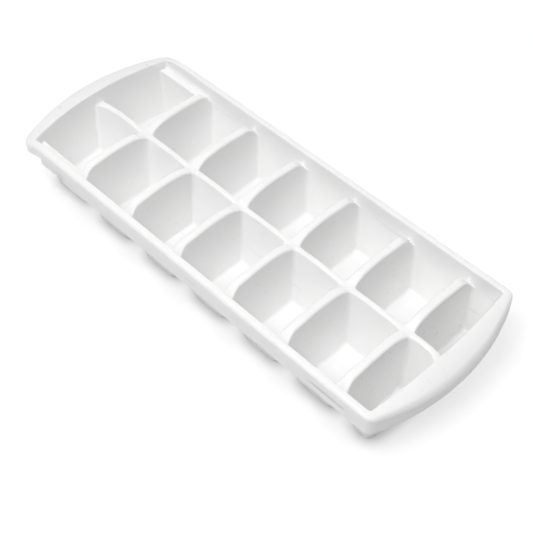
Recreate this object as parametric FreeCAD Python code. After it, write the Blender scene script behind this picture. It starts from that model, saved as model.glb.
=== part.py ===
import FreeCAD, Part
import math
import os

V = FreeCAD.Vector

# One-piece ice cube tray with two rows of seven cells. X runs along the tray, Y across
# it and Z up. The tray stands on the cup floors at Z = 0. All sizes are in millimetres.

# Overall sizes
tray_height = 34.5
tray_width = 99.0
divider_pitch = 36.0
dividers = 6
first_cell_length = 35.1
last_cell_length = 18.6

# Wall sizes
wall_thickness = 1.4
floor_thickness = 1.5
draft_slope = 0.20
last_cell_slope = 0.12
cell_corner_radius = 1.8
floor_fillet = 1.5

# Rim along the long sides
rim_width = 4.1
rim_plate_thickness = 1.6
rim_edge_radius = 2.0
skirt_thickness = 1.5
skirt_drop = 11.6
left_skirt_drop = 6.9
left_skirt_length = 44.8

# Grips at the two ends
left_grip_width = 12.2
right_grip_width = 11.2
left_inner_bow = 5.5
right_inner_bow = 2.5
left_outer_bow = 12.0
right_outer_bow = 10.5
left_corner_radius = 8.0
right_corner_radius = 5.0
grip_fall = 4.5
left_fall_length = 18.9
right_fall_length = 13.7

# Ridges on top of the dividers
ridge_width = 4.2
ridge_slope = 0.18
ridge_edge_radius = 0.8
spine_width = 1.3
spine_slope = 0.225
saddle_drop = 4.2
crown_drop = 0.1
shoulder_drop = 2.0
shoulder_inset = 4.6
ridge_climb = 5.8
notch_drop = 7.1
spine_crown_drop = 3.3
cup_top_drop = 7.5

# Stacking ledge in the first cell of each row, with a rib hanging outside the cup below it
ledge_drop = 6.0
ledge_width = 4.1
first_side_slope = 0.075
rib_drop = 18.7
rib_level_length = 11.7
rib_gap = 0.8

# Shallow slot in each long skirt near the right end
slot_length = 20.0
slot_height = 1.1
slot_depth = 0.6
slot_drop = 5.8
slot_from_tip = 44.5

# Positions that follow from the sizes
half_width = tray_width / 2
half_opening = half_width - rim_width
tray_length = (
    left_grip_width + left_inner_bow + first_cell_length + divider_pitch * (dividers - 1)
    + last_cell_length + right_inner_bow + right_grip_width
)
left_tip = -tray_length / 2
right_tip = tray_length / 2
left_mid = left_tip + left_grip_width
left_corner = left_mid + left_inner_bow
first_divider = left_corner + first_cell_length
last_divider = first_divider + divider_pitch * (dividers - 1)
right_corner = last_divider + last_cell_length
right_mid = right_corner + right_inner_bow
cup_top = tray_height - cup_top_drop
band_top = tray_height - rim_plate_thickness
half_ridge = ridge_width / 2
half_spine = spine_width / 2
spine_half = half_spine + spine_slope * cup_top_drop + 0.1
side_split = cell_corner_radius + wall_thickness + 2.0
wall_reach = wall_thickness * math.hypot(1, draft_slope)
far = tray_length


def polyline(points):
    return [Part.makeLine(a, b) for a, b in zip(points, points[1:])]


def box(x0, x1, y0, y1, z0, z1):
    return Part.makeBox(x1 - x0, y1 - y0, z1 - z0, V(x0, y0, z0))


def prism(edges, direction):
    return Part.Face(Part.Wire(edges)).extrude(direction)


def mirrored(shape):
    return shape.mirror(V(0, 0, 0), V(0, 1, 0))


def one_solid(shape):
    return max(shape.Solids, key=lambda s: s.Volume)


def upright_edges(shape):
    # Edges that climb more steeply than 45 degrees
    found = []
    for edge in shape.Edges:
        a = edge.Vertexes[0].Point
        b = edge.Vertexes[-1].Point
        run = math.hypot(b.x - a.x, b.y - a.y)
        if abs(b.z - a.z) > run + 0.01:
            found.append(edge)
    return found


def level_edges(shape, z):
    return [e for e in shape.Edges if max(abs(v.Z - z) for v in e.Vertexes) < 1e-4]


def end_curve(mid, bow, y):
    # Plan line of an end wall: a circular arc, furthest out on the centre line
    radius = (half_opening ** 2 + bow ** 2) / (2 * abs(bow))
    return mid + math.copysign(radius - math.sqrt(radius ** 2 - y ** 2), bow)


# Plan outline of the whole opening at a depth below the rim, grown outwards by grow

def opening_outline(depth, grow):
    inset = draft_slope * depth - grow
    y = half_opening - inset
    z = tray_height - depth
    left = end_curve(left_mid, left_inner_bow, y) + inset
    right = end_curve(right_mid, -right_inner_bow, y) - inset
    left_arc = Part.Arc(V(left, y, z), V(left_mid + inset, 0, z), V(left, -y, z))
    right_arc = Part.Arc(V(right, -y, z), V(right_mid - inset, 0, z), V(right, y, z))
    return Part.Wire([
        left_arc.toShape(),
        Part.makeLine(V(left, -y, z), V(right, -y, z)),
        right_arc.toShape(),
        Part.makeLine(V(right, y, z), V(left, y, z)),
    ])


def opening_block(depth_low, depth_high, grow):
    low = opening_outline(depth_low, grow)
    high = opening_outline(depth_high, grow)
    block = Part.makeLoft([low, high], True, True)
    return block.makeFillet(cell_corner_radius + grow, upright_edges(block))


def straight_block(depth_top, depth_low, grow):
    # The opening at one depth carried straight down
    block = Part.Face(opening_outline(depth_top, grow)).extrude(V(0, 0, depth_top - depth_low))
    return block.makeFillet(cell_corner_radius + grow, upright_edges(block))


# Plan outline of one cell in the back row at a depth below the rim. kind is "first",
# "middle" or "last"; grow moves every wall outwards by the wall thickness, and ends is how
# far the two end walls of a last cell have come in at that depth, at the divider and at
# the grip.

def cell_outline(kind, depth, grow, ends):
    inset = draft_slope * depth - grow
    z = tray_height - depth
    side = half_ridge + ridge_slope * depth - grow
    y0 = half_spine + spine_slope * depth - grow
    y1 = half_opening - inset
    if kind == "first":
        y1 = half_opening - first_side_inset(depth) + grow
        x1 = first_divider - side
        ym = (y0 + y1) / 2
        near = end_curve(left_mid, left_inner_bow, y0) + inset
        middle = end_curve(left_mid, left_inner_bow, ym) + inset
        far = end_curve(left_mid, left_inner_bow, y1) + inset
        bowed = Part.Arc(V(far, y1, z), V(middle, ym, z), V(near, y0, z)).toShape()
        rest = polyline([V(near, y0, z), V(x1, y0, z), V(x1, y1, z), V(far, y1, z)])
        return Part.Wire([bowed] + rest)
    if kind == "last":
        x0 = last_divider + half_ridge + ends[0] - grow
        inset = ends[1] - grow
        ym = (y0 + y1) / 2
        near = end_curve(right_mid, -right_inner_bow, y0) - inset
        middle = end_curve(right_mid, -right_inner_bow, ym) - inset
        far = end_curve(right_mid, -right_inner_bow, y1) - inset
        bowed = Part.Arc(V(near, y0, z), V(middle, ym, z), V(far, y1, z)).toShape()
        rest = polyline([V(far, y1, z), V(x0, y1, z), V(x0, y0, z), V(near, y0, z)])
        return Part.Wire([bowed] + rest)
    x0 = side
    x1 = divider_pitch - side
    corners = [V(x0, y0, z), V(x1, y0, z), V(x1, y1, z), V(x0, y1, z), V(x0, y0, z)]
    return Part.Wire(polyline(corners))


def first_side_inset(depth):
    # The side wall of a first cell starts at the inner edge of the stacking ledge
    return draft_slope * ledge_drop + ledge_width + first_side_slope * (depth - ledge_drop)


def last_insets(depth):
    # A last cell keeps the upper draft down to the cup top and is steeper below it
    below = last_cell_slope * (depth - cup_top_drop)
    return (ridge_slope * cup_top_drop + below, draft_slope * cup_top_drop + below)


def plain_insets(depth):
    return (ridge_slope * depth, draft_slope * depth)


def cell_block(kind, floor_z, top_drop, grow, round_floor):
    depth = tray_height - floor_z
    low = cell_outline(kind, depth, grow, last_insets(depth))
    high = cell_outline(kind, top_drop, grow, last_insets(top_drop))
    block = Part.makeLoft([low, high], True, True)
    block = block.makeFillet(cell_corner_radius + grow, upright_edges(block))
    return block.makeFillet(round_floor, level_edges(block, floor_z))


def cup(kind):
    outer = cell_block(kind, 0.0, cup_top_drop, wall_reach, floor_fillet + wall_thickness)
    hollow = cell_block(kind, floor_thickness, cup_top_drop - 1.0, 0.0, floor_fillet)
    return one_solid(outer.cut(hollow).common(box(-far, far, 0.0, far, -1.0, cup_top)))


# Line of a ridge top: it climbs from the spine, stays almost level with the rim and
# ends in a notch at the wall. Each point is a place along the ridge and a drop.

def crest_points(start, wall, climb, drop_start, drop_crown, drop_shoulder):
    way = 1 if wall > start else -1
    shoulder = wall - way * shoulder_inset
    top_start = start + way * climb
    middle = (top_start + shoulder) / 2
    fall = drop_shoulder - drop_crown
    step = drop_start - drop_crown
    return [
        (start, drop_start),
        (start + way * climb * 0.33, drop_crown + step * 0.56),
        (top_start, drop_crown + step * 0.22),
        ((top_start + middle) / 2, drop_crown + step * 0.06),
        (middle, drop_crown),
        ((middle + shoulder) / 2, drop_crown + fall * 0.35),
        (shoulder, drop_shoulder),
        (shoulder + way * shoulder_inset * 0.2, drop_shoulder + (notch_drop - drop_shoulder) * 0.16),
        (shoulder + way * shoulder_inset * 0.6, drop_shoulder + (notch_drop - drop_shoulder) * 0.58),
        (wall, notch_drop),
    ]


def spline_edge(points):
    curve = Part.BSplineCurve()
    curve.interpolate(points)
    return curve.toShape()


def cell_space(kind):
    # Empty space of one back-row cell, carried on above the rim
    below = cup_top_drop + 1.0
    low = cell_outline(kind, below, 0.0, plain_insets(below))
    high = cell_outline(kind, -1.0, 0.0, plain_insets(-1.0))
    block = Part.makeLoft([low, high], True, True)
    return block.makeFillet(cell_corner_radius, upright_edges(block))


def cross_ridge(space_left, space_right):
    # Ridge of one back-row divider, with X = 0 on the divider's middle
    wall = half_opening - draft_slope * notch_drop
    foot = half_opening - draft_slope * cup_top_drop
    points = crest_points(spine_half, wall, ridge_climb, saddle_drop, crown_drop, shoulder_drop)
    crest = spline_edge([V(0, y, tray_height - drop) for y, drop in points])
    rest = polyline([
        V(0, wall, tray_height - notch_drop), V(0, foot, cup_top),
        V(0, spine_half, cup_top), V(0, spine_half, tray_height - saddle_drop),
    ])
    reach = half_ridge + ridge_slope * cup_top_drop + cell_corner_radius + 0.5
    slab = prism([crest] + rest, V(2 * reach, 0, 0))
    slab.translate(V(-reach, 0, 0))
    ridge = one_solid(slab.cut(space_left).cut(space_right))
    crest_edges = []
    for edge in ridge.Edges:
        middle = edge.valueAt((edge.FirstParameter + edge.LastParameter) / 2)
        on_crest = min(v.Z for v in edge.Vertexes) > cup_top + 0.3
        borders_cell = 0.5 < abs(middle.x) < reach - 0.3
        if on_crest and borders_cell and spine_half + 0.01 < middle.y < wall - 0.01:
            crest_edges.append(edge)
    return ridge.makeFillet(ridge_edge_radius, crest_edges)


def spine_ridge(spaces):
    # Ridge between the two rows, with a slight rise over each cell
    left_wall = left_mid + draft_slope * notch_drop
    right_wall = right_mid - draft_slope * notch_drop
    first = crest_points(first_divider, left_wall, ridge_climb, saddle_drop, spine_crown_drop,
                         shoulder_drop + spine_crown_drop)
    last_shoulder = right_wall - shoulder_inset
    points = list(reversed(first))
    for k in range(dividers - 1):
        a = first_divider + divider_pitch * k
        points.append((a + divider_pitch / 2, spine_crown_drop))
        points.append((a + divider_pitch, saddle_drop))
    points.append(((last_divider + last_shoulder) / 2, spine_crown_drop))
    points.append((last_shoulder, spine_crown_drop + 0.6))
    points.append((right_wall, notch_drop))
    z = tray_height
    crest = spline_edge([V(x, 0, z - drop) for x, drop in points])
    left_foot = left_mid + draft_slope * cup_top_drop
    right_foot = right_mid - draft_slope * cup_top_drop
    rest = polyline([
        V(right_wall, 0, z - notch_drop), V(right_foot, 0, cup_top),
        V(left_foot, 0, cup_top), V(left_wall, 0, z - notch_drop),
    ])
    slab = prism([crest] + rest, V(0, 2 * spine_half, 0))
    slab.translate(V(0, -spine_half, 0))
    for space in spaces:
        slab = slab.cut(space).cut(mirrored(space))
    return one_solid(slab)


# Rim: flat plate along the sides, bowed grips that fall outwards at the ends, and a
# skirt that hangs from the outer edge

def rim_outline(inset, z):
    y = half_width - inset
    left = left_tip + left_outer_bow
    right = right_tip - right_outer_bow
    left_arc = Part.Arc(V(left, y, z), V(left_tip + inset, 0, z), V(left, -y, z))
    right_arc = Part.Arc(V(right, -y, z), V(right_tip - inset, 0, z), V(right, y, z))
    return [
        left_arc.toShape(),
        Part.makeLine(V(left, -y, z), V(right, -y, z)),
        right_arc.toShape(),
        Part.makeLine(V(right, y, z), V(left, y, z)),
    ]


def rim_prism(inset, z0, z1):
    block = prism(rim_outline(inset, z0), V(0, 0, z1 - z0))
    left_edges = [e for e in upright_edges(block) if e.Vertexes[0].X < 0]
    block = block.makeFillet(left_corner_radius - inset, left_edges)
    right_edges = [e for e in upright_edges(block) if e.Vertexes[0].X > 0]
    return block.makeFillet(right_corner_radius - inset, right_edges)


def fall_profile(start, run, side, y, top):
    # Space above a grip in section, over an arc that falls by grip_fall over run
    radius = (run ** 2 + grip_fall ** 2) / (2 * grip_fall)
    high = top + 20
    angle = math.asin(run / radius) * 1.15
    end = V(start + side * radius * math.sin(angle), y, top - radius * (1 - math.cos(angle)))
    mid_fall = radius * (1 - math.cos(angle / 2))
    mid = V(start + side * radius * math.sin(angle / 2), y, top - mid_fall)
    arc = Part.Arc(V(start, y, top), mid, end).toShape()
    lines = polyline([end, V(end.x, y, high), V(start, y, high), V(start, y, top)])
    return [arc] + lines


def above_crown(lower):
    # Space above the plate. The left end falls from all round its bow, the right end
    # falls along the tray only.
    top = tray_height - lower
    y = tray_width
    bow_radius = (half_width ** 2 + left_outer_bow ** 2) / (2 * left_outer_bow)
    bow_centre = left_tip + bow_radius
    level_radius = bow_radius - left_fall_length
    right_start = right_tip - right_fall_length
    left_section = Part.Face(Part.Wire(fall_profile(
        bow_centre - level_radius, left_fall_length, -1, 0, top)))
    left = left_section.revolve(V(bow_centre, 0, 0), V(0, 0, 1), -90)
    left = left.fuse(left_section.revolve(V(bow_centre, 0, 0), V(0, 0, 1), 90))
    core = Part.makeCylinder(level_radius, 20, V(bow_centre, 0, top))
    flat = core.fuse(box(bow_centre, right_start, -y, y, top, top + 20))
    right = prism(fall_profile(right_start, right_fall_length, 1, -y, top), V(0, 2 * y, 0))
    return left.fuse(flat).fuse(right)


def rim_block():
    # Solid rim under its crown with its rounded edge, before the inside is removed
    low = tray_height - skirt_drop
    block = one_solid(rim_prism(0.0, low, tray_height + 1).cut(above_crown(0.0)))
    return block.makeFillet(rim_edge_radius, outer_top_edges(block))


def outer_top_edges(block):
    # Top edges that run round the outside of the rim
    inner = rim_prism(skirt_thickness / 2, 0.0, tray_height + 2)
    found = []
    for edge in block.Edges:
        middle = edge.valueAt((edge.FirstParameter + edge.LastParameter) / 2)
        high = min(v.Z for v in edge.Vertexes) > tray_height - grip_fall - 0.5
        upright = abs(edge.Vertexes[0].Z - edge.Vertexes[-1].Z) > edge.Length * 0.9
        if high and not upright and edge.Length > 0 and not inner.isInside(middle, 1e-4, True):
            found.append(edge)
    return found


nodes = {}

# Cups
middle_cup = cup("middle")
first_cup = cup("first")
last_cup = cup("last")
for number in range(1, dividers + 2):
    if number == 1:
        shape = first_cup
    elif number == dividers + 1:
        shape = last_cup
    else:
        shape = middle_cup.copy()
        shape.translate(V(first_divider + divider_pitch * (number - 2), 0, 0))
    nodes["cup_back_%d" % number] = shape
    nodes["cup_front_%d" % number] = mirrored(shape)

# Ridges on the dividers
middle_space = cell_space("middle")
last_space = cell_space("last")
left_space = middle_space.copy()
left_space.translate(V(-divider_pitch, 0, 0))
right_space = last_space.copy()
right_space.translate(V(-last_divider, 0, 0))
plain_ridge = cross_ridge(left_space, middle_space)
end_ridge = cross_ridge(left_space, right_space)
spaces = [cell_space("first")]
for number in range(1, dividers):
    space = middle_space.copy()
    space.translate(V(first_divider + divider_pitch * (number - 1), 0, 0))
    spaces.append(space)
spaces.append(last_space)
nodes["spine_ridge"] = spine_ridge(spaces)
for number in range(1, dividers + 1):
    shape = (end_ridge if number == dividers else plain_ridge).copy()
    shape.translate(V(first_divider + divider_pitch * (number - 1), 0, 0))
    nodes["cross_ridge_back_%d" % number] = shape
    nodes["cross_ridge_front_%d" % number] = mirrored(shape)

# Rim plate, grips and skirts
left_cut = left_corner + side_split
right_cut = right_corner - side_split
shell = rim_block()
inner_prism = rim_prism(skirt_thickness, 0, tray_height + 2)
plate = shell.common(inner_prism)
lower_space = inner_prism.cut(above_crown(rim_plate_thickness))
plate = plate.cut(lower_space)
plate = plate.cut(opening_block(cup_top_drop, -1.0, 0.0))
skirt = one_solid(shell.cut(inner_prism))
nodes["side_rail_back"] = one_solid(plate.common(box(left_cut, right_cut, 0, far, 0, far)))
nodes["side_rail_front"] = mirrored(nodes["side_rail_back"])
nodes["grip_left"] = one_solid(plate.common(box(-far, left_cut, -far, far, 0, far)))
nodes["grip_right"] = one_solid(plate.common(box(right_cut, far, -far, far, 0, far)))

skirt_cut = left_tip + left_skirt_length
notch = box(-far, skirt_cut, -far, far, 0, tray_height).cut(above_crown(left_skirt_drop))
skirt = skirt.cut(notch)
slot_x0 = right_tip - slot_from_tip
slot_z1 = tray_height - slot_drop
for sign in (-1, 1):
    y0 = sign * half_width - slot_depth
    y1 = y0 + 2 * slot_depth
    skirt = skirt.cut(box(slot_x0, slot_x0 + slot_length, y0, y1, slot_z1 - slot_height, slot_z1))
nodes["side_skirt_back"] = one_solid(skirt.common(box(left_cut, right_cut, 0, far, 0, far)))
nodes["side_skirt_front"] = mirrored(nodes["side_skirt_back"])
nodes["end_skirt_left"] = one_solid(skirt.common(box(-far, left_cut, -far, far, 0, far)))
nodes["end_skirt_right"] = one_solid(skirt.common(box(right_cut, far, -far, far, 0, far)))

# Upper walls between the cup tops and the rim plate
band = opening_block(cup_top_drop, rim_plate_thickness, wall_reach).cut(
    opening_block(cup_top_drop + 1, rim_plate_thickness - 1, 0.0)
)
nodes["side_wall_back"] = one_solid(
    band.common(box(left_cut, right_cut, 0, far, 0, far)).cut(nodes["side_rail_back"])
)
nodes["side_wall_front"] = mirrored(nodes["side_wall_back"])
nodes["end_wall_left"] = one_solid(
    band.common(box(-far, left_cut, -far, far, 0, far)).cut(nodes["grip_left"])
)
nodes["end_wall_right"] = one_solid(
    band.common(box(right_cut, far, -far, far, 0, far)).cut(nodes["grip_right"])
)

# Stacking ledges
ledge = opening_block(cup_top_drop, ledge_drop, 0.0)
ledge_end = first_divider - half_ridge - draft_slope * ledge_drop
ledge_inner = half_opening - first_side_inset(cup_top_drop) - 0.6 * cell_corner_radius
ledge = ledge.common(box(-far, ledge_end, ledge_inner, far, cup_top, tray_height - ledge_drop))
ledge = one_solid(ledge.cut(cell_space("first")).cut(nodes["cross_ridge_back_1"]))
nodes["stacking_ledge_back"] = ledge
nodes["stacking_ledge_front"] = mirrored(ledge)

# Ribs below the ledges: the upper wall carried on straight down, outside the first cups
outer_block = straight_block(cup_top_drop, rib_drop, wall_reach)
inner_block = straight_block(cup_top_drop, rib_drop, 0.0)
rib_low = tray_height - rib_drop
rib_level_end = left_corner + rib_level_length
cup_side = half_opening - first_side_inset(cup_top_drop) + wall_reach
profile = prism(polyline([
    V(left_tip, 0, cup_top), V(left_tip, 0, rib_low), V(rib_level_end, 0, rib_low),
    V(first_divider, 0, cup_top), V(left_tip, 0, cup_top),
]), V(0, far, 0))
profile.translate(V(0, cup_side + rib_gap, 0))
rib = one_solid(outer_block.cut(inner_block).common(profile))
nodes["ledge_rib_back"] = rib
nodes["ledge_rib_front"] = mirrored(rib)

os.makedirs("parts", exist_ok=True)
for name, shape in nodes.items():
    shape.exportStep("parts/%s.step" % name)
    print(name, round(shape.Volume, 1), shape.isValid(), len(shape.Solids))
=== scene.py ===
import bmesh
import bpy
import math
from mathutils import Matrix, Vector


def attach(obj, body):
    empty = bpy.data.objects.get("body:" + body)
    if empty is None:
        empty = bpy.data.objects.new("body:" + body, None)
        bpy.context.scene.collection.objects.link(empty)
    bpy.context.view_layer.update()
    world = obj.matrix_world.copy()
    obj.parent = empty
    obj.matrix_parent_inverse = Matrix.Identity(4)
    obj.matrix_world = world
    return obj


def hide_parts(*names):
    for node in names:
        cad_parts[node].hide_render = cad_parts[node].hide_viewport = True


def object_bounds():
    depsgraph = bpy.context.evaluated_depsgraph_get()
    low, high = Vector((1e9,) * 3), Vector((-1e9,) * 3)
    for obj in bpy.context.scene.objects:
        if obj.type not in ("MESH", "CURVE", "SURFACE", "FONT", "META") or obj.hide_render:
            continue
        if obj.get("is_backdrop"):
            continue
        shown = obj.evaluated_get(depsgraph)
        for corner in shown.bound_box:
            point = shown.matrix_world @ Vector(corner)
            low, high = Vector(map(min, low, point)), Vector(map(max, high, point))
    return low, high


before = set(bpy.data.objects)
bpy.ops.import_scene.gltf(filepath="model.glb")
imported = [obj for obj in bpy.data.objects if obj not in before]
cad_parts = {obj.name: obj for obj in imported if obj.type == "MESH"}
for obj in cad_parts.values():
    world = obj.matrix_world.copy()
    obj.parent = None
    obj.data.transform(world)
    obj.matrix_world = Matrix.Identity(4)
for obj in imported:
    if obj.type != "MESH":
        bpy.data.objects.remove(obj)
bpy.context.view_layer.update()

# ---------------------------------------------------------------- tray moulding
# The tray is a single injection moulding in white polypropylene: fourteen tapered cups hang
# from arched ridges inside a flat rim, and the rim turns down into a skirt and two bowed
# grips. Its sizes are in millimetres, with drops measured down from the rim.

millimetre = 0.001

# Overall sizes, with the bows of the opening and of the grips seen from above
tray_height = 34.5
half_width = 49.5
half_opening = 45.4
left_tip = -132.55
right_tip = 132.55
left_grip_width = 12.2
right_grip_width = 11.2
left_inner_bow = 5.5
right_inner_bow = 2.5
left_outer_bow = 12.0
right_outer_bow = 10.5
left_corner_radius = 8.0
right_corner_radius = 5.0

# Cells
cells = 7
divider_pitch = 36.0
first_cell_length = 35.1
draft = 0.20
last_cell_slope = 0.12
wall = 1.43
corner_radius = 1.8
floor_drop = 33.0
inner_foot = 1.6
outer_foot = 3.0
cup_top = 7.5

# Ridges between the cells, and the spine ridge between the rows, which dips at each divider
half_ridge = 2.1
ridge_slope = 0.18
half_spine = 0.65
spine_slope = 0.225
spine_drop = 3.3
spine_dip = 0.9
notch = 7.3

# Stacking ledge in the first cell of each row
ledge_drop = 6.0
ledge_width = 4.1
ledge_corner = 4.0
first_side_slope = 0.075

# Rim, grips and skirt
grip_drop = 4.5
left_fall_length = 18.9
right_fall_length = 13.7
inner_edge_radius = 0.55
outer_edge_radius = 1.8
plate_thickness = 1.6
skirt_thickness = 1.5
skirt_drop = 11.6
left_skirt_drop = 6.9
left_skirt_length = 44.8
hem_round = 0.35

# Shallow slot in each long skirt
slot_from_tip = 44.5
slot_length = 20.0
slot_top = 5.8
slot_bottom = 6.9
slot_depth = 0.6
slot_slope = 0.12


def arc_radius(half, rise):
    # Radius of an arc that rises this far in the middle of its width
    return (half**2 + rise**2) / (2 * rise)


left_wall = left_tip + left_grip_width
right_wall = right_tip - right_grip_width
left_bow_radius = arc_radius(half_opening, left_inner_bow)
right_bow_radius = arc_radius(half_opening, right_inner_bow)
left_tip_radius = arc_radius(half_width, left_outer_bow)
right_tip_radius = arc_radius(half_width, right_outer_bow)
first_divider = left_wall + left_inner_bow + first_cell_length
dividers = [first_divider + divider_pitch * n for n in range(cells - 1)]
notch_y = half_opening - draft * notch
skirt_end = left_tip + left_skirt_length
slot_ends = (right_tip - slot_from_tip, right_tip - slot_from_tip + slot_length)

# The ridge line climbs from the spine, runs level with the rim and dips into a notch at the
# wall. Each point is a distance from the centre line and a drop.
crest_line = [
    (-5.0, 2.3), (0.0, 4.2), (2.2, 3.7), (5.0, 2.2), (9.0, 0.95), (15.0, 0.35), (22.0, 0.12),
    (27.0, 0.36), (32.0, 0.74), (36.0, 0.95), (38.0, 1.28), (39.0, 1.75), (40.0, 2.52),
    (42.0, 4.78), (notch_y, notch), (45.0, 8.7),
]

# How far from each end wall the spine starts to fall to its notch, and how suddenly
spine_ends = {"left": (21.0, 2.7), "right": (7.0, 2.2)}

# Vertices: a cell has a few at each corner and more between them, and they lie closer
# together within this distance of a divider, the spine or the wall
corner_steps = 4
steps_x = 2 * corner_steps + 10
steps_y = 2 * corner_steps + 18
whole_x = cells * steps_x
whole_y = 2 * steps_y
close_zone = 4.0


def smooth_line(points, t):
    # Value at t on a smooth curve through the points
    n = 1
    while n < len(points) - 3 and t > points[n + 1][0]:
        n += 1
    (ta, va), (tb, vb), (tc, vc), (td, vd) = points[n - 1 : n + 3]
    slope_b = (vc - va) / (tc - ta)
    slope_c = (vd - vb) / (td - tb)
    span = tc - tb
    s = min(max((t - tb) / span, 0.0), 1.0)
    return (
        (2 * s**3 - 3 * s**2 + 1) * vb
        + (s**3 - 2 * s**2 + s) * span * slope_b
        + (3 * s**2 - 2 * s**3) * vc
        + (s**3 - s**2) * span * slope_c
    )


def crest(y):
    return smooth_line(crest_line, min(y, notch_y))


def spine(x):
    # Drop of the ridge between the rows: a slight rise over each cell, a notch at each end wall
    edges = [left_wall - close_zone] + dividers + [right_wall + close_zone]
    k = max(n for n in range(cells) if n == 0 or x >= edges[n])
    share = abs(2 * (x - edges[k]) / (edges[k + 1] - edges[k]) - 1)
    drop = spine_drop + spine_dip * share**2.5
    gaps = {"left": x - (left_wall + draft * notch), "right": right_wall - draft * notch - x}
    for end, gap in gaps.items():
        length, power = spine_ends[end]
        if gap < length:
            fall = 1 - max(gap, 0.0) / length
            drop = drop + (notch - drop) * fall**power
    return drop


def first_side_inset(drop):
    # The first cells' side walls start at the inner edge of the stacking ledge
    return draft * ledge_drop + ledge_width + first_side_slope * (drop - ledge_drop)


def ring_point(i, j, x0, x1, y0, y1, radius, bow):
    # A place on a cell's rounded outline. bow is (side, radius) where an end wall is curved.
    # The last value is how far the place belongs to the spine or the side wall, 0 to 1.
    def corner(sx, sy):
        yc = (y0 if sy < 0 else y1) - sy * radius
        if bow and bow[0] == sx:
            cx = (x0 if sx < 0 else x1) - sx * bow[1]
            xc = cx + sx * math.sqrt((bow[1] - radius) ** 2 - yc**2)
            angle = math.atan2(yc, abs(xc - cx))
            return xc, yc, angle, bow[1] * math.sin(angle), cx
        return (x0 if sx < 0 else x1) - sx * radius, yc, 0.0, yc, 0.0

    near_x = min(i, steps_x - i)
    near_y = min(j, steps_y - j)
    sx = -1 if 2 * i < steps_x else 1
    sy = -1 if 2 * j < steps_y else 1
    xc, yc, end_angle, tangent_y, cx = corner(sx, sy)
    if near_x < corner_steps and near_y < corner_steps:
        if near_y == 0:
            p = (corner_steps - near_x) / (2 * corner_steps)
        else:
            p = 0.5 + near_y / (2 * corner_steps)
        start = sy * math.pi / 2
        a = start + (end_angle - start) * p
        return xc + sx * radius * math.cos(a), yc + radius * math.sin(a), 1 - p
    if near_y == 0:
        t = (i - corner_steps) / (steps_x - 2 * corner_steps)
        left = corner(-1, sy)[0]
        right = corner(1, sy)[0]
        return left + (right - left) * t, (y0 if sy < 0 else y1), 1.0
    t = (j - corner_steps) / (steps_y - 2 * corner_steps)
    low = corner(sx, -1)[3]
    high = corner(sx, 1)[3]
    y = low + (high - low) * t
    if bow and bow[0] == sx:
        return cx + sx * math.sqrt(bow[1] ** 2 - y**2), y, 0.0
    return (x0 if sx < 0 else x1), y, 0.0


def outline_point(u, v, tip_l, tip_r, radius_l, radius_r, half, corner_l, corner_r):
    # A place on a closed outline round the whole tray, with bowed ends and rounded corners
    near_x = min(u, whole_x - u)
    near_y = min(v, whole_y - v)
    sx = -1 if 2 * u < whole_x else 1
    sy = -1 if 2 * v < whole_y else 1

    def corner(side):
        tip, big, r = (tip_l, radius_l, corner_l) if side < 0 else (tip_r, radius_r, corner_r)
        cx = tip - side * big
        yc = half - r
        xc = cx + side * math.sqrt((big - r) ** 2 - yc**2)
        return xc, yc, math.atan2(yc, abs(xc - cx)), cx, big, r

    xc, yc, end_angle, cx, big, r = corner(sx)
    if near_x < corner_steps and near_y < corner_steps:
        if near_y == 0:
            p = (corner_steps - near_x) / (2 * corner_steps)
        else:
            p = 0.5 + near_y / (2 * corner_steps)
        a = math.pi / 2 + (end_angle - math.pi / 2) * p
        return xc + sx * r * math.cos(a), sy * (yc + r * math.sin(a))
    if near_y == 0:
        return side_place(u, corner(-1)[0], corner(1)[0]), sy * half
    top = big * math.sin(end_angle)
    y = top * end_share(v)
    return cx + sx * math.sqrt(big**2 - y**2), sy * y


def end_share(v):
    # How far along an end wall a vertex stands, 0 at the spine and 1 where the corner starts
    j = abs(v - steps_y)
    first = close_zone / (half_opening - corner_radius)
    if j <= corner_steps:
        return first * j / corner_steps
    return first + (1 - first) * (j - corner_steps) / (steps_y - 2 * corner_steps)


def side_place(u, left, right):
    # Place along a side wall: closer vertices at each divider
    k = min(u // steps_x, cells - 1)
    i = u - k * steps_x
    start = dividers[k - 1] if k > 0 else left
    stop = dividers[k] if k < cells - 1 else right
    low = close_zone if k > 0 else 0.0
    high = close_zone if k < cells - 1 else 0.0
    if i <= corner_steps:
        if k == 0:
            return start
        return start + low * i / corner_steps
    if i >= steps_x - corner_steps:
        if k == cells - 1:
            return stop
        return stop - high * (steps_x - i) / corner_steps
    t = (i - corner_steps) / (steps_x - 2 * corner_steps)
    return start + low + (stop - high - start - low) * t


def wall_drop(u, v):
    # Drop of the line where the ridges and the ledge meet the upper wall
    if u <= steps_x:
        near_y = min(v, whole_y - v)
        if near_y == 0:
            away = steps_x - u
            return notch + (ledge_drop - notch) * min(away / corner_steps, 1.0)
        if u == 0:
            away = abs(v - steps_y)
            return notch + (ledge_drop - notch) * min(away / (steps_y - corner_steps), 1.0)
    return notch


def opening_point(u, v, drop, grow):
    inset = draft * drop - grow
    return outline_point(
        u, v, left_wall + inset, right_wall - inset, left_bow_radius, right_bow_radius,
        half_opening - inset, corner_radius + grow, corner_radius + grow,
    )


def rim_point(u, v, inset):
    return outline_point(
        u, v, left_tip + inset, right_tip - inset, left_tip_radius - inset,
        right_tip_radius - inset, half_width - inset, left_corner_radius - inset,
        right_corner_radius - inset,
    )


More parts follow.
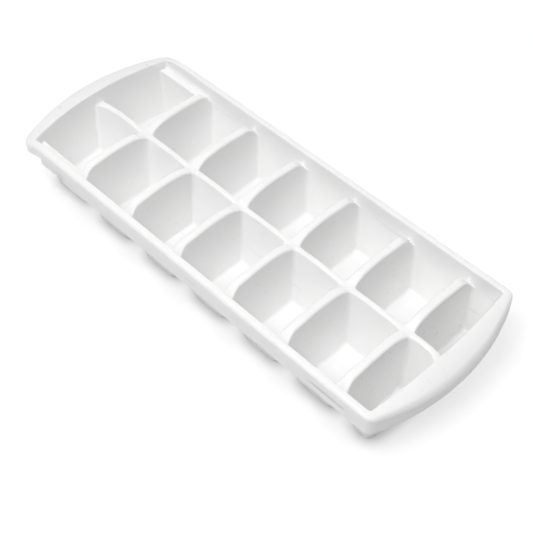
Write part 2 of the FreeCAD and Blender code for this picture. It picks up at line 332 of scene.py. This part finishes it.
def field_point(u, v, under):
    # Vertices on the ridge centre lines and on the wall round the opening
    sign = 1 if v > steps_y else -1
    if u in (0, whole_x) or v in (0, whole_y):
        drop = cup_top if under else wall_drop(u, v)
        x, y = opening_point(u, v, drop, wall if under else 0.0)
        return x, y, drop
    if u % steps_x == 0:
        j = abs(v - steps_y)
        outer = half_opening - draft * notch
        if under:
            outer = half_opening + wall - draft * cup_top
        if j <= corner_steps:
            y = close_zone * j / corner_steps
        elif j >= steps_y - corner_steps:
            y = outer - close_zone * (steps_y - j) / corner_steps
        else:
            t = (j - corner_steps) / (steps_y - 2 * corner_steps)
            y = close_zone + (outer - 2 * close_zone) * t
        x = dividers[u // steps_x - 1]
        return x, sign * y, cup_top if under else crest(y)
    inset = draft * (cup_top if under else notch)
    reach = inset - wall if under else inset
    k = u // steps_x
    i = u - k * steps_x
    start = dividers[k - 1] if k > 0 else left_wall + reach
    stop = dividers[k] if k < cells - 1 else right_wall - reach
    if i <= corner_steps:
        x = start + close_zone * i / corner_steps
    elif i >= steps_x - corner_steps:
        x = stop - close_zone * (steps_x - i) / corner_steps
    else:
        t = (i - corner_steps) / (steps_x - 2 * corner_steps)
        x = start + close_zone + (stop - start - 2 * close_zone) * t
    return x, 0.0, cup_top if under else spine(x)


def end_bow(k):
    # Side and radius of the curved end wall of the first and the last cells
    if k == 0:
        return -1, left_bow_radius
    if k == cells - 1:
        return 1, right_bow_radius
    return None


def ridge_ring(k, i, j, edge, back, rim_edge, ledge_edge, ledge_back):
    # One step of a cell's rounded upper edge. edge is how far it lies below the ridge line,
    # back how far it stands back from the cell wall. The wall leans, so place and drop depend
    # on each other: three rounds from a first guess bring them together.
    radius = corner_radius + back
    bow = end_bow(k)
    guess_x = 3.0
    guess_y = 4.0
    drop_x = guess_x
    drop_y = guess_y
    for _ in range(3):
        side = half_ridge - back + ridge_slope * drop_x
        x0 = dividers[k - 1] + side if k > 0 else left_wall + draft * drop_x
        x1 = dividers[k] - side if k < cells - 1 else right_wall - draft * drop_x
        y0 = half_spine - back + spine_slope * drop_y
        if k == 0:
            y1 = half_opening - first_side_inset(ledge_drop + ledge_edge) + ledge_back
        else:
            y1 = half_opening - draft * (notch + rim_edge)
        x, y, share = ring_point(i, j, x0, x1, y0, y1, radius, bow)
        at_end = (k == 0 and 2 * i < steps_x) or (k == cells - 1 and 2 * i >= steps_x)
        if at_end:
            drop_x = notch + rim_edge
            if k == 0:
                reach = half_opening - ledge_width - ledge_corner
                drop_x += (ledge_drop - notch) * min(y / reach, 1.0)
        else:
            drop_x = crest(y) + edge
        if 2 * j < steps_y:
            drop_y = spine(x) + edge
            if at_end:
                drop_y = max(drop_y, spine(x) + rim_edge)
        elif k == 0:
            drop_y = ledge_drop + ledge_edge
        else:
            drop_y = notch + rim_edge
        drop = drop_x + (drop_y - drop_x) * share * share * (3 - 2 * share)
        if 2 * j >= steps_y:
            drop_y = guess_y
    return x, y, drop


def wall_ring(k, i, j, drop, extra, radius, grow):
    # A cell outline at one depth, drawn in by extra for the rounded foot
    inset = draft * drop - grow + extra
    side = half_ridge + ridge_slope * drop - grow + extra
    x0 = dividers[k - 1] + side if k > 0 else left_wall + inset
    x1 = dividers[k] - side if k < cells - 1 else right_wall - inset
    if k == cells - 1 and drop > cup_top:
        x0 -= (ridge_slope - last_cell_slope) * (drop - cup_top)
        x1 += (draft - last_cell_slope) * (drop - cup_top)
    y0 = half_spine + spine_slope * drop - grow + extra
    y1 = half_opening - inset
    if k == 0:
        y1 = half_opening - first_side_inset(drop) + grow - extra
    x, y, _ = ring_point(i, j, x0, x1, y0, y1, radius, end_bow(k))
    return x, y, drop


def foot_steps(size, low, radius, least_radius):
    # Rounded foot between a drafted wall and a floor: how far down and in, and the radius
    count = 6
    steps = []
    for n in range(count + 1):
        t = n / count
        inward = t * t * size
        drop = (1 - t) ** 2 * (low - size) + (2 * t * (1 - t) + t * t) * low
        steps.append(("wall", drop, inward, max(radius - 0.8 * inward, least_radius)))
    return steps


def cell_steps(under):
    # The steps of one cell from its edge to its floor. A ridge step gives what ridge_ring takes,
    # a wall step a drop, how far it is drawn in and the corner radius.
    middle = 20.0
    if under:
        outer_radius = corner_radius + wall
        return [
            ("wall", cup_top, -0.5, outer_radius - 0.5),
            ("wall", cup_top + 0.15, -0.12, outer_radius - 0.1),
            ("wall", cup_top + 0.6, 0.0, outer_radius),
            ("wall", middle, 0.0, outer_radius),
        ] + foot_steps(outer_foot, tray_height, outer_radius, 0.8)
    return [
        ("ridge", 0.03, 0.9, 0.3, 0.02, 0.9), ("ridge", 0.13, 0.56, 0.5, 0.08, 0.56),
        ("ridge", 0.38, 0.24, 0.75, 0.3, 0.24), ("ridge", 0.7, 0.06, 0.9, 0.6, 0.06),
        ("ridge", 1.05, 0.0, 1.05, 0.95, 0.0),
        ("wall", 9.2, 0.0, corner_radius), ("wall", middle, 0.0, corner_radius),
    ] + foot_steps(inner_foot, floor_drop, corner_radius, 0.7)


def build_field(under):
    # The seven by two cells as one sheet: each cell's face is drawn down step by step
    bm = bmesh.new()
    bmesh.ops.create_grid(bm, x_segments=whole_x, y_segments=whole_y, size=1.0)
    layer_u = bm.verts.layers.int.new("u")
    layer_v = bm.verts.layers.int.new("v")
    for vert in bm.verts:
        vert[layer_u] = round((vert.co.x + 1) / 2 * whole_x)
        vert[layer_v] = round((vert.co.y + 1) / 2 * whole_y)
    groups = {}
    for face in bm.faces:
        middle = face.calc_center_median()
        k = int((middle.x + 1) / 2 * cells)
        row = int(middle.y > 0)
        groups.setdefault((k, row), []).append(face)
    cell_faces = {}
    for key, faces in groups.items():
        joined = bmesh.ops.dissolve_faces(bm, faces=faces, use_verts=False)
        cell_faces[key] = joined["region"][0]
    for vert in bm.verts:
        x, y, drop = field_point(vert[layer_u], vert[layer_v], under)
        vert.co = Vector((x, y, tray_height - drop))
    steps = cell_steps(under)
    grow = wall if under else 0.0
    for (k, row), face in cell_faces.items():
        for step in steps:
            face = bmesh.ops.extrude_discrete_faces(bm, faces=[face])["faces"][0]
            for vert in face.verts:
                i = vert[layer_u] - k * steps_x
                j = abs(vert[layer_v] - steps_y)
                if step[0] == "ridge":
                    x, y, drop = ridge_ring(k, i, j, *step[1:])
                else:
                    x, y, drop = wall_ring(k, i, j, *step[1:], grow)
                vert.co = Vector((x, y if row else -y, tray_height - drop))
    return bm, layer_u, layer_v


def grip_fall(x, y):
    # The rim is level along the sides. It curves down all round the bow of the left grip, and
    # along the tray on the right grip.
    if x > 0:
        run = (x - right_tip) / right_fall_length + 1
    else:
        outside = math.hypot(x - left_tip - left_tip_radius, y) - left_tip_radius
        run = outside / left_fall_length + 1
    return grip_drop * max(run, 0.0) ** 2


def edge_radius(x, y):
    # The rim's outer edge is rounded, a little more on the right grip and less on the left
    change = 0.8 if x > 0 else -0.3
    return outer_edge_radius + change * grip_fall(x, y) / grip_drop


def rim_steps():
    # Each step is a kind, how far across it lies and a drop. The first loops climb the wall,
    # the edge steps are angles round the outer edge and the last come back underneath.
    steps = [
        ("wall", 0.0, 3.5), ("wall", 0.0, 0.62), ("inner", 0.02, 0.36), ("inner", 0.12, 0.13),
        ("inner", 0.3, 0.02), ("inner", inner_edge_radius, 0.0), ("plate", 0.35, 0.0),
        ("plate", 0.7, 0.0),
    ]
    for angle in (0, 15, 30, 45, 60, 75, 90):
        steps.append(("edge", math.radians(angle), 0.0))
    return steps + [
        ("skirt", 0.33, slot_top), ("skirt", 0.66, slot_bottom),
        ("hem", 0.0, hem_round), ("hem", 0.12, 0.1), ("hem", 0.4, 0.0), ("hem", 1.1, 0.0),
        ("hem", 1.38, 0.1), ("hem", skirt_thickness, hem_round),
        ("outer", skirt_thickness, 2.4), ("outer", 1.62, 1.85), ("outer", 2.0, plate_thickness),
        ("back", 0.6, plate_thickness), ("back", 0.12, 1.85), ("back", 0.0, 2.5),
        ("back", 0.0, 5.0),
    ]


def snapped(x):
    # Brings the nearest vertices of the skirt onto the ends of the slot and of the short skirt
    slot_reach = 1.25
    step_side = 1.3
    step_reach = 1.31
    step_slant = 0.2
    for target in slot_ends:
        if abs(x - target) < slot_reach:
            return target
    for side in (-1, 1):
        if abs(x - (skirt_end + side * step_side)) < step_reach:
            return skirt_end + side * step_slant
    return x


def rim_place(u, v, kind, across, drop):
    if kind == "wall":
        x, y = opening_point(u, v, drop, 0.0)
        fall = grip_fall(x, y)
        x, y = opening_point(u, v, drop + fall, 0.0)
        return x, y, drop + fall
    if kind == "inner":
        x, y = opening_point(u, v, 0.0, across)
        return x, y, drop + grip_fall(x, y)
    if kind == "plate":
        xa, ya = opening_point(u, v, 0.0, inner_edge_radius)
        xb, yb = rim_point(u, v, edge_radius(xa, ya))
        x = xa + (xb - xa) * across
        y = ya + (yb - ya) * across
        return x, y, drop + grip_fall(x, y)
    if kind == "back":
        # Behind the rim the upper wall takes up the fall of the grips over its first stretch
        stretch = 7.0
        gain = 1.2
        x, y = opening_point(u, v, 0.0, wall + across - draft * drop)
        return x, y, drop + gain * grip_fall(x, y) * max(0.0, 1 - drop / stretch)
    if kind == "edge":
        radius = edge_radius(*rim_point(u, v, 0.0))
        x, y = rim_point(u, v, radius * (1 - math.sin(across)))
        return x, y, radius * (1 - math.cos(across)) + grip_fall(x, y)
    x, y = rim_point(u, v, 0.0 if kind == "skirt" else across)
    fall = grip_fall(x, y)
    if kind == "outer":
        return x, y, drop + fall
    if v in (0, whole_y):
        x = snapped(x)
    low = left_skirt_drop + fall if x < skirt_end else skirt_drop
    if kind == "hem":
        return x, y, low - drop
    # Along the sides a skirt loop keeps its drop. On the grips it keeps its share of the skirt.
    share = fall / grip_drop
    high = edge_radius(x, y) + fall
    hem_top = low - hem_round
    level = min(drop, hem_top - 0.1)
    return x, y, level * (1 - share) + (high + (hem_top - high) * across) * share


top, top_u, top_v = build_field(False)
for kind, across, drop in rim_steps():
    border = [e for e in top.edges if e.is_boundary]
    grown = bmesh.ops.extrude_edge_only(top, edges=border)["geom"]
    for vert in [g for g in grown if isinstance(g, bmesh.types.BMVert)]:
        x, y, low = rim_place(vert[top_u], vert[top_v], kind, across, drop)
        vert.co = Vector((x, y, tray_height - low))

# The sheet under the cups closes the moulding, so that its walls have their real thickness
under = build_field(True)[0]
border = [e for e in top.edges if e.is_boundary]
grown = bmesh.ops.extrude_edge_only(top, edges=border)["geom"]
for vert in [g for g in grown if isinstance(g, bmesh.types.BMVert)]:
    x, y, drop = field_point(vert[top_u], vert[top_v], True)
    vert.co = Vector((x, y, tray_height - drop))
bmesh.ops.reverse_faces(under, faces=under.faces)
lower_mesh = bpy.data.meshes.new("lower_sheet")
under.to_mesh(lower_mesh)
under.free()
top.from_mesh(lower_mesh)
bpy.data.meshes.remove(lower_mesh)
bmesh.ops.remove_doubles(top, verts=top.verts, dist=0.001)
bmesh.ops.recalc_face_normals(top, faces=top.faces)

# A shallow slot is sunk into each long skirt near the end with the short cells
slot_faces = []
for face in top.faces:
    middle = face.calc_center_median()
    drop = tray_height - middle.z
    if abs(abs(middle.y) - half_width) < 0.01 and slot_top < drop < slot_bottom:
        if slot_ends[0] < middle.x < slot_ends[1]:
            slot_faces.append(face)
bmesh.ops.inset_region(
    top, faces=slot_faces, thickness=slot_slope, depth=-slot_depth, use_even_offset=True
)
bmesh.ops.scale(top, vec=(millimetre, millimetre, millimetre), verts=top.verts)
for face in top.faces:
    face.smooth = True
tray_mesh = bpy.data.meshes.new("tray_moulding")
top.to_mesh(tray_mesh)
top.free()
tray = bpy.data.objects.new("tray_moulding", tray_mesh)
bpy.context.scene.collection.objects.link(tray)
normals = tray.modifiers.new("even_shading", "WEIGHTED_NORMAL")
normals.keep_sharp = True


def add_node(tree, kind, operation=None, **values):
    # A shader node with its settings, named as on the node with _ for each space
    node = tree.nodes.new("ShaderNode" + kind)
    if operation:
        node.operation = operation
    for name, value in values.items():
        node.inputs[name.replace("_", " ")].default_value = value
    return node


def connect(tree, source, output, target, entry):
    tree.links.new(source.outputs[output], target.inputs[entry])


def white_polypropylene():
    plastic = bpy.data.materials.new("white_polypropylene")
    plastic.use_nodes = True
    skin = plastic.node_tree
    shader = skin.nodes["Principled BSDF"]
    shader.inputs["IOR"].default_value = 1.49
    shader.inputs["Subsurface Weight"].default_value = 0.25
    shader.inputs["Subsurface Radius"].default_value = (1.0, 1.0, 0.95)
    shader.inputs["Subsurface Scale"].default_value = 0.0025
    place = add_node(skin, "TexCoord")

    # Slow clouding of the white where the melt met
    cloud = add_node(skin, "TexNoise", Scale=38.0, Detail=4.0, Roughness=0.55)
    white = add_node(skin, "ValToRGB")
    darker, lighter = white.color_ramp.elements
    darker.position = 0.3
    darker.color = (0.918, 0.92, 0.915, 1)
    lighter.position = 0.7
    lighter.color = (0.94, 0.94, 0.937, 1)
    connect(skin, place, "Object", cloud, "Vector")
    connect(skin, cloud, "Fac", white, "Fac")
    connect(skin, white, "Color", shader, "Base Color")

    # Flow lines along the tray and fine scuffs change how sharply it reflects
    stretch = add_node(skin, "Mapping", Scale=(25.0, 420.0, 420.0))
    flow = add_node(skin, "TexNoise", Scale=1.0, Detail=3.0)
    gloss = add_node(skin, "MapRange", From_Min=0.3, From_Max=0.7, To_Min=0.27, To_Max=0.38)
    connect(skin, place, "Object", stretch, "Vector")
    connect(skin, stretch, "Vector", flow, "Vector")
    connect(skin, flow, "Fac", gloss, "Value")
    connect(skin, gloss, "Result", shader, "Roughness")

    # Faint ripple of the moulded surface
    ripple = add_node(skin, "TexNoise", Scale=650.0, Detail=2.0)
    relief = add_node(skin, "Bump", Strength=0.12, Distance=0.0001)
    connect(skin, place, "Object", ripple, "Vector")
    connect(skin, ripple, "Fac", relief, "Height")
    connect(skin, relief, "Normal", shader, "Normal")
    return plastic


plastic = white_polypropylene()
tray_mesh.materials.append(plastic)

ribs = [name for name in sorted(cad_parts) if name.startswith("ledge_rib")]
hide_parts(*[name for name in sorted(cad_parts) if name not in ribs])
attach(tray, "root")

# ---------------------------------------------------------------- ledge ribs
# A thin rib hangs outside each first cup below the stacking ledge. It turns round the corner
# of the opening, and its lower edge climbs towards the first divider.

rib_columns = 22
rib_rows = 6
rib_corner_columns = 8
rib_corner_angle = 62
rib_thickness = 1.4
rib_end_gap = 0.4
rib_top = 7.0
rib_drop = 18.7
rib_climb = 11.2
rib_climb_start = -103.15
rib_edge_radius = 0.3

turn_x = opening_point(corner_steps, 0, cup_top, wall)[0]
turn_y = half_opening - draft * cup_top - corner_radius
for rib_name in ribs:
    side = 1 if rib_name.endswith("back") else -1
    bm = bmesh.new()
    bmesh.ops.create_grid(bm, x_segments=rib_columns, y_segments=rib_rows, size=1.0)
    step_layer = bm.verts.layers.int.new("step")
    row_layer = bm.verts.layers.int.new("row")
    inner_layer = bm.verts.layers.int.new("inner")
    for vert in bm.verts:
        vert[step_layer] = round((vert.co.x + 1) / 2 * rib_columns)
        vert[row_layer] = round((vert.co.y + 1) / 2 * rib_rows)
    grown = bmesh.ops.extrude_face_region(bm, geom=bm.faces[:])["geom"]
    for vert in [g for g in grown if isinstance(g, bmesh.types.BMVert)]:
        vert[inner_layer] = 1
    for vert in bm.verts:
        n = vert[step_layer]
        radius = corner_radius + wall - (rib_thickness if vert[inner_layer] else 0.0)
        if n <= rib_corner_columns:
            angle = math.radians(rib_corner_angle * (1 - n / rib_corner_columns))
            x = turn_x - radius * math.sin(angle)
            y = turn_y + radius * math.cos(angle)
        else:
            run = (n - rib_corner_columns) / (rib_columns - rib_corner_columns)
            x = turn_x + (first_divider - rib_end_gap - turn_x) * run
            y = turn_y + radius
        climb = max(x - rib_climb_start, 0.0) / (first_divider - rib_climb_start)
        low = rib_drop - rib_climb * climb
        drop = rib_top + (low - rib_top) * (vert[row_layer] / rib_rows) ** 0.8
        vert.co = Vector((x, side * y, tray_height - drop)) * millimetre
    bmesh.ops.recalc_face_normals(bm, faces=bm.faces)
    rib_mesh = bpy.data.meshes.new(rib_name)
    bm.to_mesh(rib_mesh)
    bm.free()
    rib = bpy.data.objects.new(rib_name + "_moulding", rib_mesh)
    bpy.context.scene.collection.objects.link(rib)
    soften = rib.modifiers.new("soft_edges", "BEVEL")
    soften.width = rib_edge_radius * millimetre
    soften.segments = 2
    soften.limit_method = "ANGLE"
    rib_mesh.materials.append(plastic)
    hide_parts(rib_name)
    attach(rib, "root")

# ---------------------------------------------------------------- ground and light
# A plain white ground that keeps the tray's soft shadow under large soft lamps, with painted shade
# close under the tray. It lies a little below the cup floors, so that the two surfaces don't share
# a plane.

ground_half_size = 3.0
ground_depth = 0.0002


def ground_white():
    ground_paint = bpy.data.materials.new("ground_white")
    ground_paint.use_nodes = True
    paper = ground_paint.node_tree
    paper.nodes.clear()
    out = add_node(paper, "OutputMaterial")
    both = add_node(paper, "AddShader")
    connect(paper, both, 0, out, "Surface")
    seen = add_node(paper, "LightPath")

    # To the camera half of the white is paint, which takes the shadow. To the tray it is all paint.
    matt = add_node(paper, "BsdfDiffuse")
    paint = add_node(paper, "MapRange", To_Min=0.8, To_Max=0.48)
    connect(paper, seen, "Is Camera Ray", paint, "Value")
    connect(paper, paint, "Result", matt, "Color")
    connect(paper, matt, 0, both, 0)

    # The other half glows to the camera, less in the nook under the tray and more far from it.
    # The dimmer glow in the nook is painted shade, a contact shadow drawn from ambient occlusion.
    painted_shade_occlusion = add_node(paper, "AmbientOcclusion", Distance=0.006)
    glow_with_painted_shade = add_node(paper, "MapRange", To_Min=0.1, To_Max=0.595)
    spot = add_node(paper, "TexCoord")
    away = add_node(paper, "VectorMath", "LENGTH")
    far_glow = add_node(paper, "MapRange", From_Min=0.3, From_Max=0.9, To_Max=0.4)
    whole_glow = add_node(paper, "Math", "ADD")
    seen_glow = add_node(paper, "Math", "MULTIPLY")
    glow = add_node(paper, "Emission", Color=(1, 1, 1, 1))
    connect(paper, painted_shade_occlusion, "AO", glow_with_painted_shade, "Value")
    connect(paper, spot, "Object", away, 0)
    connect(paper, away, "Value", far_glow, "Value")
    connect(paper, glow_with_painted_shade, "Result", whole_glow, 0)
    connect(paper, far_glow, "Result", whole_glow, 1)
    connect(paper, seen, "Is Camera Ray", seen_glow, 0)
    connect(paper, whole_glow, 0, seen_glow, 1)
    connect(paper, seen_glow, 0, glow, "Strength")
    connect(paper, glow, 0, both, 1)
    return ground_paint


bm = bmesh.new()
bmesh.ops.create_grid(bm, x_segments=1, y_segments=1, size=ground_half_size)
bmesh.ops.translate(bm, vec=(0, 0, -ground_depth), verts=bm.verts)
ground_mesh = bpy.data.meshes.new("ground")
bm.to_mesh(ground_mesh)
bm.free()
ground = bpy.data.objects.new("ground", ground_mesh)
bpy.context.scene.collection.objects.link(ground)
ground_mesh.materials.append(ground_white())
ground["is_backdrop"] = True

# Wide light comes from the back, the left and above, and the camera sees a white room
world = bpy.data.worlds.new("studio")
bpy.context.scene.world = world
world.use_nodes = True
room = world.node_tree
background = room.nodes["Background"]
background.inputs["Color"].default_value = (1, 1, 1, 1)
direction = add_node(room, "TexCoord")


def window(axis, narrow, strength):
    # Light from one side of the room, fading towards the others
    side = add_node(room, "VectorMath", "DOT_PRODUCT")
    side.inputs[1].default_value = axis
    connect(room, direction, "Generated", side, 0)
    last, output = side, "Value"
    for operation, value in (("MAXIMUM", 0.0), ("POWER", narrow), ("MULTIPLY", strength)):
        step = add_node(room, "Math", operation)
        step.inputs[1].default_value = value
        connect(room, last, output, step, 0)
        last, output = step, 0
    return last


light = window((0, 1, 0), 1.5, 0.867)
for more in (window((-1, 0, 0), 1.5, 0.187), window((0, 0, 1), 2.0, 0.256)):
    total = add_node(room, "Math", "ADD")
    connect(room, light, 0, total, 0)
    connect(room, more, 0, total, 1)
    light = total
seen = add_node(room, "LightPath")
level = add_node(room, "Mix", B=1.0)
connect(room, seen, "Is Camera Ray", level, "Factor")
connect(room, light, 0, level, "A")
connect(room, level, "Result", background, "Strength")


def soft_lamp(name, place, size, power):
    # A square lamp that faces the middle of the tray
    lamp = bpy.data.lights.new(name, "AREA")
    lamp.shape = "SQUARE"
    lamp.size = size
    lamp.energy = power
    holder = bpy.data.objects.new(name, lamp)
    holder.location = place
    holder.rotation_euler = (-Vector(place)).to_track_quat("-Z", "Y").to_euler()
    bpy.context.scene.collection.objects.link(holder)


soft_lamp("front_lamp", (0.0, -0.5, 1.1), 0.45, 6.2)
soft_lamp("low_front_lamp", (0.0, -1.1, 0.7), 0.8, 2.79)
soft_lamp("left_lamp", (-0.55, 0.0, 1.1), 0.45, 2.0)
soft_lamp("right_lamp", (0.5, 0.0, 1.1), 0.45, 2.35)

# ---------------------------------------------------------------- camera
# The tray is seen from above its front right corner, through a long lens a little more than
# half a metre away.
camera = bpy.data.cameras.new("camera")
camera.lens = 73.39
camera.sensor_width = 36.0
camera_holder = bpy.data.objects.new("camera", camera)
camera_holder.location = (0.26317, -0.24816, 0.42313)
view = Vector((-0.45704756, 0.4488478, -0.76788227))
camera_holder.rotation_euler = view.to_track_quat("-Z", "Y").to_euler()
bpy.context.scene.collection.objects.link(camera_holder)
bpy.context.scene.camera = camera_holder
bpy.context.scene.view_settings.view_transform = "Standard"

low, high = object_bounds()
